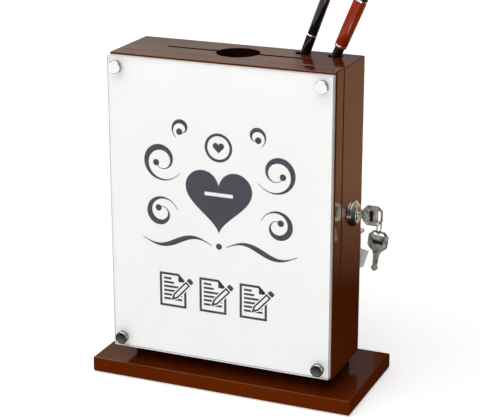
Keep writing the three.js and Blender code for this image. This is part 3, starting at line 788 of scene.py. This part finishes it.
lock = dict(bore=5.3 * mm, barrel=8 * mm, rosette=12 * mm, plug=5 * mm, keywayHalf=3.6 * mm,
            keywayWide=2.7 * mm, keywayDeep=17 * mm, thread=1.0 * mm, threadDeep=0.45 * mm,
            seatGap=0.3 * mm)
bodyLow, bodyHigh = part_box("lock_body")
plugLow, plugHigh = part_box("lock_plug")


def makeLockBody():
    # places along X are from the plug's middle
    flange = outerHigh.x + lock["seatGap"] - lockPlace.x
    start, face = bodyLow.x - lockPlace.x, bodyHigh.x - lockPlace.x
    bore, barrel, rosette = lock["bore"], lock["barrel"], lock["rosette"]
    profile = [(bore, start), (barrel - 0.6 * mm, start)]
    ridge = start + 0.6 * mm
    while ridge < flange - 3 * mm:
        profile += [(barrel, ridge), (barrel - lock["threadDeep"], ridge + lock["thread"] / 2)]
        ridge += lock["thread"]
    profile += [(barrel - 0.2 * mm, flange - 1.5 * mm), (barrel - 0.2 * mm, flange),
                (rosette - 0.15 * mm, flange), (rosette, flange + 0.15 * mm),
                (rosette, flange + 1.5 * mm), (rosette - 0.25 * mm, flange + 1.8 * mm),
                (rosette - 2.7 * mm, face - 0.2 * mm), (rosette - 3.1 * mm, face),
                (bore + 1.0 * mm, face), (bore + 0.7 * mm, face - 0.1 * mm), (bore, face - 0.7 * mm)]
    return smooth(turnPiece("lockBody", "x", profile, lockPlace, 72, closed=True), 24, weighted=False)


def makePlug():
    half, radius = (plugHigh.x - plugLow.x) / 2, lock["plug"]
    profile = [(0, -half), (radius - 0.3 * mm, -half), (radius, -half + 0.3 * mm),
               (radius, half - 0.4 * mm), (radius - 0.4 * mm, half), (0, half)]
    plug = turnPiece("lockPlug", "x", profile, lockPlace, 56)
    wide, high = lock["keywayWide"] / 2, lock["keywayHalf"]
    cutAway(plug, addBlock((plugHigh.x - lock["keywayDeep"], lockPlace.y - wide, lockPlace.z - high),
                           (plugHigh.x + 1 * mm, lockPlace.y + wide, lockPlace.z + high)))
    return smooth(plug, 30, weighted=False)


finishPiece(makeLockBody(), "cabinet", lockNickelPaintedReflection, "chrome", "lock_body")
finishPiece(makePlug(), "plug", lockNickelPaintedReflection, "chrome", "lock_plug")

for node, name, edge, body in (("lock_nut", "lockNut", 0.5 * mm, "cabinet"),
                               ("lock_cam", "lockCam", 0.2 * mm, "plug"),
                               ("strike_plate", "strikePlate", 0.3 * mm, "door")):
    piece = copyNode(node, name)
    roundEdges(piece, edge, 2, 40)
    finishPiece(smooth(piece, 35), body, zincSteel, "steel", node)

washerSizes = dict(bore=1.75 * mm, radius=4.2 * mm, thick=0.45 * mm, edge=0.1 * mm)


def makeWasher():
    bore, radius, thick, edge = (washerSizes[size] for size in ("bore", "radius", "thick", "edge"))
    profile = [(bore, 0), (radius - edge, 0), (radius, edge), (radius, thick - edge), (radius - edge, thick),
               (bore, thick)]
    place = (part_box("cam_washer")[0].x, lockPlace.y, lockPlace.z)
    return smooth(turnPiece("camWasher", "x", profile, place, 48, closed=True), 30, weighted=False)


finishPiece(makeWasher(), "plug", zincSteel, "steel", "cam_washer")
camScrew = makeScrew(3.4 * mm, 1.3 * mm, 1.4 * mm, 9.8 * mm, domed=0.4 * mm)
camScrewPlace = (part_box("cam_screw")[0].x + 0.45 * mm, lockPlace.y, lockPlace.z)
placed = placeCopy(camScrew, "camScrew", outwards(camScrewPlace, (-1, 0, 0), 20))
finishPiece(placed, "plug", zincSteel, "steel", "cam_screw")
bpy.data.objects.remove(camScrew)
print("lock made")

# keys: an eight-sided bow with a stamped window and a slot for the ring, on a cut blade

key = dict(bow=18.8 * mm, bowCut=4.2 * mm, bowThick=2.8 * mm, bladeThick=2 * mm, shank=4 * mm,
           eyeWide=2.8 * mm, eyeLong=11 * mm, eyeRim=1.6 * mm, windowLong=4.1 * mm, windowHigh=10.6 * mm,
           windowDeep=0.5 * mm, windowBack=1.2 * mm, groove=0.5 * mm, grooveWide=1.5 * mm, edge=0.45 * mm,
           spareTilt=6)
bladeOutline = [(-16.3, 0.7), (-15.1, 2.1), (-13.7, 3.1), (-12.3, 3.1), (-10.8, 2.2), (-7.6, 2.2),
                (-6.6, 2.9), (-5.6, 2.2), (-4.4, 2.2), (-3.4, 2.8), (-2.4, 2.6), (0, 2.6), (0, 3.2),
                (5, 4.4)]  # the upper edge from tip to bow, in millimetres; the lower one mirrors it


def makeKey():
    half, cut, near, far = key["bow"] / 2, key["bowCut"], key["shank"], key["shank"] + key["bow"]
    upper = [(near, half - cut), (near + cut, half), (far - cut, half), (far, half - cut)]
    bow = plate([(x, -z) for x, z in upper] + upper[::-1], key["bowThick"], "keyTemplate")
    eyeRadius, through = key["eyeWide"] / 2, 5 * mm
    eyeX = far - key["eyeRim"] - eyeRadius
    eyeEnd = key["eyeLong"] / 2 - eyeRadius
    eye = addBlock((eyeX - eyeRadius, -through, -eyeEnd), (eyeX + eyeRadius, through, eyeEnd))
    rods = [addRod("y", eyeRadius, -through, through, (eyeX, 0, side * eyeEnd), 24) for side in (-1, 1)]
    cutAway(bow, eye, *rods)
    mergeClose(bow)
    roundEdges(bow, key["edge"], 3, 40)
    middle, windowHalf, deep = near + half - key["windowBack"], key["windowLong"] / 2, key["windowDeep"]
    for side in (-1, 1):
        y = side * key["bowThick"] / 2
        window = addBlock((middle - windowHalf, y - deep, -key["windowHigh"] / 2),
                          (middle + windowHalf, y + deep, key["windowHigh"] / 2))
        roundEdges(window, 0.3 * mm, 2)
        cutAway(bow, window)
    points = [(x * mm, z * mm) for x, z in bladeOutline]
    blade = plate([(x, -z) for x, z in points] + points[::-1], key["bladeThick"], "blade")
    roundEdges(blade, 0.16 * mm, 2, 40)
    groove, grooveHalf = key["groove"], key["grooveWide"] / 2
    for side in (-1, 1):
        y = side * key["bladeThick"] / 2
        cutAway(blade, addBlock((-18 * mm, y - groove, -grooveHalf), (3.2 * mm, y + groove, grooveHalf)))
    unite(bow, blade)
    mergeClose(bow)
    bow.data.materials.append(keyNickelPaintedReflection)
    bow.data.materials.append(keyWindowPaintedShade)
    # painted shade: the floor of each stamped window takes the near-black finish
    windowFloor = key["bowThick"] / 2 - deep
    for face in bow.data.polygons:
        onFloor = abs(abs(face.center.y) - windowFloor) < 0.02 * mm and abs(face.normal.y) > 0.9
        if onFloor and abs(face.center.x - middle) < windowHalf:
            face.material_index = 1
    return smooth(bow, 30)


keyTemplate = makeKey()
keyStop = plugHigh.x + 0.3 * mm  # where the key's shoulder meets the plug's face
eyeFar = key["shank"] + key["bow"] - key["eyeRim"]
ringLow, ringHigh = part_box("key_ring")
ringMiddle = (ringLow + ringHigh) / 2
ringWire = (ringHigh.x - ringLow.x) / 2
mainKey = placeCopy(keyTemplate, "lockKey", Matrix.Translation((keyStop, lockPlace.y, lockPlace.z)))
declarePiece(mainKey, "key", "nickel", "lock_key")
hangPoint = eyeFar - 0.3 * mm - ringWire
hang = (Matrix.Translation((ringMiddle.x, lockPlace.y, ringLow.z + ringWire))
        @ Matrix.Rotation(math.radians(key["spareTilt"]) - math.pi / 2, 4, "Y")
        @ Matrix.Translation((-hangPoint, 0, 0)))
spareKey = placeCopy(keyTemplate, "spareKey", hang)
declarePiece(spareKey, "hanging_key", "nickel", "spare_key")
bpy.data.objects.remove(keyTemplate)


def makeRing():
    # a flat wire wound twice round, its two ends stepping over at the top
    curve = bpy.data.curves.new("splitRing", "CURVE")
    curve.dimensions = "3D"
    line = curve.splines.new("POLY")
    steps, turns = 128, 2
    radius, side = (ringHigh.z - ringLow.z) / 2 - 0.55 * mm, 0.33 * mm
    line.points.add(steps)
    for k, point in enumerate(line.points):
        t = k / steps
        angle = math.pi * 0.5 + tau * turns * t
        shift = side * (2 / (1 + math.exp(-(t - 0.5) * 46)) - 1)
        point.co = (shift, radius * math.cos(angle), radius * math.sin(angle), 1)
    curve.bevel_mode = "ROUND"
    curve.bevel_depth = 0.3 * mm
    curve.bevel_resolution = 4
    curve.use_fill_caps = True
    ring = addObject("splitRing", curve)
    selectOnly(ring)
    bpy.ops.object.convert(target="MESH")
    ring.location = ringMiddle
    settle(ring, "splitRing")
    return smooth(faceOut(ring), 60, weighted=False)


finishPiece(makeRing(), "ring", zincSteel, "steel", "key_ring")
print("keys and ring made")

# pens: turned pieces on a leaning axis, with clips on the caps

ribs = dict(start=16, end=26, radius=4.55, depth=0.25, pitch=1.25)
clipSizes = dict(halfWide=1.1, thick=0.7, off=0.9, collar=3, into=0.6, bead=1.6)


def ribbed(start, end, radius, depth, pitch):
    rows = []
    z = start
    while z + pitch <= end:
        valley = radius - depth
        rows += [(radius, z), (radius, z + pitch * 0.55),
                 (valley, z + pitch * 0.65), (valley, z + pitch * 0.9)]
        z += pitch
    return rows


# profiles are (radius, height) in millimetres along the pen's own axis, from its tip
pens = dict(
    black=dict(tip=(51.2, 13, 301.2), lean=20.2, clip=(4.6, 88, 130), parts=(
        ("Grip", "barrel", blackGloss, "black_gloss",
         [(0, 0), (2.55, 0), (2.9, 0.3), (3.4, 0.9), (4.4, 12), (4.55, 20), (4.6, 26), (4.6, 34.4),
          (0, 34.4)]),
        ("Band", "band", chrome, "chrome",
         [(0, 34.6), (4.7, 34.6), (4.75, 34.8), (4.75, 35.7), (4.7, 35.9), (0, 35.9)]),
        ("Cap", "cap", blackGloss, "black_gloss",
         [(0, 36.1), (4.5, 36.1), (4.6, 36.4), (4.6, 128), (4.5, 131), (4.1, 135.4), (3.2, 137.4),
          (1.6, 138), (0, 138)]))),
    red=dict(tip=(79.8, 13, 300.5), lean=23, clip=(5.9, 92, 132), parts=(
        ("Grip", "grip", blackGloss, "black_gloss",
         [(0, 0), (0.4, 0), (0.55, 0.3), (0.7, 2.5), (1.4, 3), (3.4, 11), (4.3, 15.5), *ribbed(**ribs),
          (4.7, 26.6), (4.7, 27.4), (0, 27.4)]),
        ("Band", "band", chrome, "chrome",
         [(0, 27.6), (5.8, 27.6), (5.9, 27.9), (5.9, 29.6), (5.8, 29.9), (0, 29.9)]),
        ("Barrel", "barrel", redGloss, "red_gloss",
         [(0, 30.1), (5.8, 30.1), (5.9, 30.4), (6.1, 50), (6.2, 73.7), (6.1, 74), (0, 74)]),
        ("UpperBand", "upper_band", chrome, "chrome",
         [(0, 74.2), (6.15, 74.2), (6.25, 74.5), (6.25, 75.7), (6.15, 76), (0, 76)]),
        ("Cap", "cap", blackGloss, "black_gloss",
         [(0, 76.2), (6, 76.2), (6.1, 76.6), (5.8, 132), (5.5, 136), (4.8, 140), (3.8, 141.5),
          (1.8, 142), (0, 142)]))))


def penPart(name, profile, matrix):
    piece = turnPiece(name, "z", [(radius * mm, z * mm) for radius, z in profile], (0, 0, 0), 56)
    if name != "redPenGrip":  # the ribbed grip keeps its crisp rings
        roundEdges(piece, 0.12 * mm, 2, 35)
    piece.data.transform(matrix)
    return smooth(piece, 40, weighted=False)


def makeClip(name, matrix, radius, low, high):
    # a springy strip from a collar near the end, its ball just off the cap
    half, start, bead = clipSizes["halfWide"], radius + clipSizes["off"], clipSizes["bead"]
    outer = start + clipSizes["thick"]
    strip = addBlock((-half * mm, -outer * mm, low * mm), (half * mm, -start * mm, high * mm), name)
    bridge = addBlock((-half * mm, -outer * mm, (high - clipSizes["collar"]) * mm),
                      (half * mm, -(radius - clipSizes["into"]) * mm, high * mm))
    beadProfile = [(0, -bead), (0.8, -1.2), (1.15, 0), (0.8, 1.2), (0, bead)]
    ball = turnPiece("bead", "z", [(r * mm, z * mm) for r, z in beadProfile],
                     (0, -(start + 0.1) * mm, (low + bead) * mm), 24)
    unite(strip, bridge, ball)
    mergeClose(strip)
    roundEdges(strip, 0.18 * mm, 2, 40)
    strip.data.transform(matrix)
    return smooth(strip, 40)


for color, pen in pens.items():
    body = f"{color}_pen"
    leaning = Matrix.Rotation(math.radians(pen["lean"]), 4, "Y")
    matrix = Matrix.Translation(Vector(pen["tip"]) * mm) @ leaning
    for word, part, material, slot, profile in pen["parts"]:
        piece = penPart(f"{color}Pen{word}", profile, matrix)
        finishPiece(piece, body, material, slot, f"{body}_{part}")
    finishPiece(makeClip(f"{color}PenClip", matrix, *pen["clip"]), body, chrome, "chrome")
print("pens made")

# slip tray on the back, on two pegs

pegSizes = dict(shank=1.2 * mm, collar=2 * mm, collarStart=14.6 * mm)
tray = copyNode("slip_tray", "slipTray")
roundEdges(tray, 0.3 * mm, 2, 30)
finishPiece(smooth(tray, 35), "cabinet", frosted, "clear_acrylic", "slip_tray")
tray.visible_shadow = False
for number in (1, 2):
    node = f"tray_peg_{number}"
    low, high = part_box(node)
    long = high.y - low.y
    shank, collar, start = pegSizes["shank"], pegSizes["collar"], pegSizes["collarStart"]
    profile = [(0, 0), (shank, 1 * mm), (shank, start), (collar, start), (collar, long - 2.4 * mm),
               (2.2 * mm, long - 1.6 * mm), (2.4 * mm, long - 1 * mm), (2.3 * mm, long - 0.4 * mm),
               (1.6 * mm, long - 0.1 * mm), (0, long)]
    middle = nodeMiddle(node)
    peg = turnPiece(f"trayPeg{number}", "y", profile, (middle.x, low.y, middle.z), 40)
    finishPiece(smooth(peg, 35, weighted=False), "cabinet", lockNickelPaintedReflection, "chrome", node)
print("tray made")

# floor, light and camera

studio = dict(floorReach=14.0, floorTone=(0.94, 0.94, 0.94), floorGlow=0.5, skyLow=0.34, skyHigh=0.24)


def makeFloor():
    bpy.ops.object.select_all(action="DESELECT")
    bpy.ops.mesh.primitive_circle_add(vertices=96, radius=studio["floorReach"], fill_type="NGON")
    floor = settle(bpy.context.object, "studioFloor")
    finish = bpy.data.materials.new("paleFloor")
    finish.use_nodes = True
    shader = finish.node_tree.nodes["Principled BSDF"]
    setInputs(shader, {"Base Color": (*studio["floorTone"], 1), "Roughness": 0.9,
                       "Specular IOR Level": 0.1, "Emission Color": (1, 1, 1, 1),
                       "Emission Strength": studio["floorGlow"]})
    floor.data.materials.append(finish)


def makeSky():
    # an even pale surround, a little stronger near the horizon
    world = bpy.data.worlds.new("studio")
    world.use_nodes = True
    bpy.context.scene.world = world
    sky = world.node_tree
    direction = sky.nodes.new("ShaderNodeTexCoord")
    split = sky.nodes.new("ShaderNodeSeparateXYZ")
    sky.links.new(direction.outputs["Generated"], split.inputs["Vector"])
    level = rangeOf(sky, split.outputs["Z"], studio["skyLow"], studio["skyHigh"], 0.05, 0.85)
    background = sky.nodes["Background"]
    background.inputs["Color"].default_value = (1, 1, 1, 1)
    sky.links.new(level, background.inputs["Strength"])


def addLight(name, kind, place, target, energy, **settings):
    bpy.ops.object.select_all(action="DESELECT")
    bpy.ops.object.light_add(type=kind, location=place)
    lamp = bpy.context.object
    lamp.name = name
    lamp.rotation_euler = (Vector(target) - Vector(place)).to_track_quat("-Z", "Y").to_euler()
    lamp.data.energy = energy
    for setting, value in settings.items():
        setattr(lamp.data, setting, value)
    lamp.visible_camera = False


def addCard(name, corners, tones, rise=(0, 1), diffuse=False, along="Z"):
    # a glowing studio card that never shows itself: only in gloss, and in soft light when asked
    mesh = bpy.data.meshes.new(name)
    mesh.from_pydata(corners, [], [(0, 1, 2, 3)])
    card = addObject(name, mesh)
    finish = bpy.data.materials.new(name)
    finish.use_nodes = True
    tree = finish.node_tree
    tree.nodes.remove(tree.nodes["Principled BSDF"])
    glow = tree.nodes.new("ShaderNodeEmission")
    place = tree.nodes.new("ShaderNodeTexCoord")
    split = tree.nodes.new("ShaderNodeSeparateXYZ")
    tree.links.new(place.outputs["Object"], split.inputs["Vector"])
    share = rangeOf(tree, split.outputs[along], 0, 1, *rise)
    tree.links.new(blendTones(tree, share, *tones), glow.inputs["Color"])
    tree.links.new(glow.outputs["Emission"], tree.nodes["Material Output"].inputs["Surface"])
    mesh.materials.append(finish)
    card.visible_camera = card.visible_shadow = card.visible_transmission = False
    card.visible_diffuse = diffuse


def standing(start, end, low, high):
    return [(*start, low), (*end, low), (*end, high), (*start, high)]


def lying(left, right, near, far, height):
    return [(left, near, height), (right, near, height), (right, far, height), (left, far, height)]


def evenTone(level):
    return ((level, level, level), (level, level, level))


makeFloor()
makeSky()
addLight("keySun", "SUN", (-0.25, -0.7, 1.0), (0, 0, 0), 0.95, angle=math.radians(62))
addLight("fillSun", "SUN", (0.05, -0.5, 1.0), (0, 0, 0), 0.5, angle=math.radians(50))
addLight("backSoftbox", "AREA", (-1.06, 1.05, 0.98), (-0.85, 0, 0.6), 1.05, shape="RECTANGLE",
         size=1.3, size_y=0.8, color=(1.0, 0.94, 0.66))
addCard("warmCard", standing((0.08, 0.17), (0.28, 0.085), 0.002, 0.36),
        ((0.012, 0.005, 0.002), (0.76, 0.45, 0.27)), (0.045, 0.16))
addCard("darkMat", lying(-0.45, 0.6, -0.42, 0.3, 0.0004),
        ((0.95, 0.95, 0.95), (0.012, 0.008, 0.006)), (-0.42, -0.13), along="Y")
addCard("rightFlag", standing((0.42, -0.55), (0.42, 0.45), 0.0, 0.55),
        ((0.05, 0.05, 0.05), (0.12, 0.12, 0.12)), (0.1, 0.5), diffuse=True)
addCard("overheadCard", lying(-1.1, 0.6, -0.7, 0.9, 1.15), evenTone(5.2))
addCard("penStrip", [(0.15, -0.44, 0.002), (0.27, -0.36, 0.002), (0.44, -0.585, 0.002),
                     (0.32, -0.735, 0.002)], evenTone(9.0))

view = dict(place=(0.551, -1.2964, 0.629), around=22.83, above=18.53, lens=118.0, shift=(-0.0144, 0.0152))
bpy.ops.object.camera_add(location=view["place"])
camera = bpy.context.object
around, above = math.radians(view["around"]), math.radians(view["above"])
back = Vector((math.sin(around) * math.cos(above), -math.cos(around) * math.cos(above), math.sin(above)))
camera.rotation_euler = (-back).to_track_quat("-Z", "Y").to_euler()
camera.data.lens = view["lens"]
camera.data.sensor_width = 36
camera.data.shift_x, camera.data.shift_y = view["shift"]
camera.data.clip_start, camera.data.clip_end = 0.02, 60
bpy.context.scene.camera = camera
bpy.context.scene.view_settings.view_transform = "Standard"
print("studio ready")
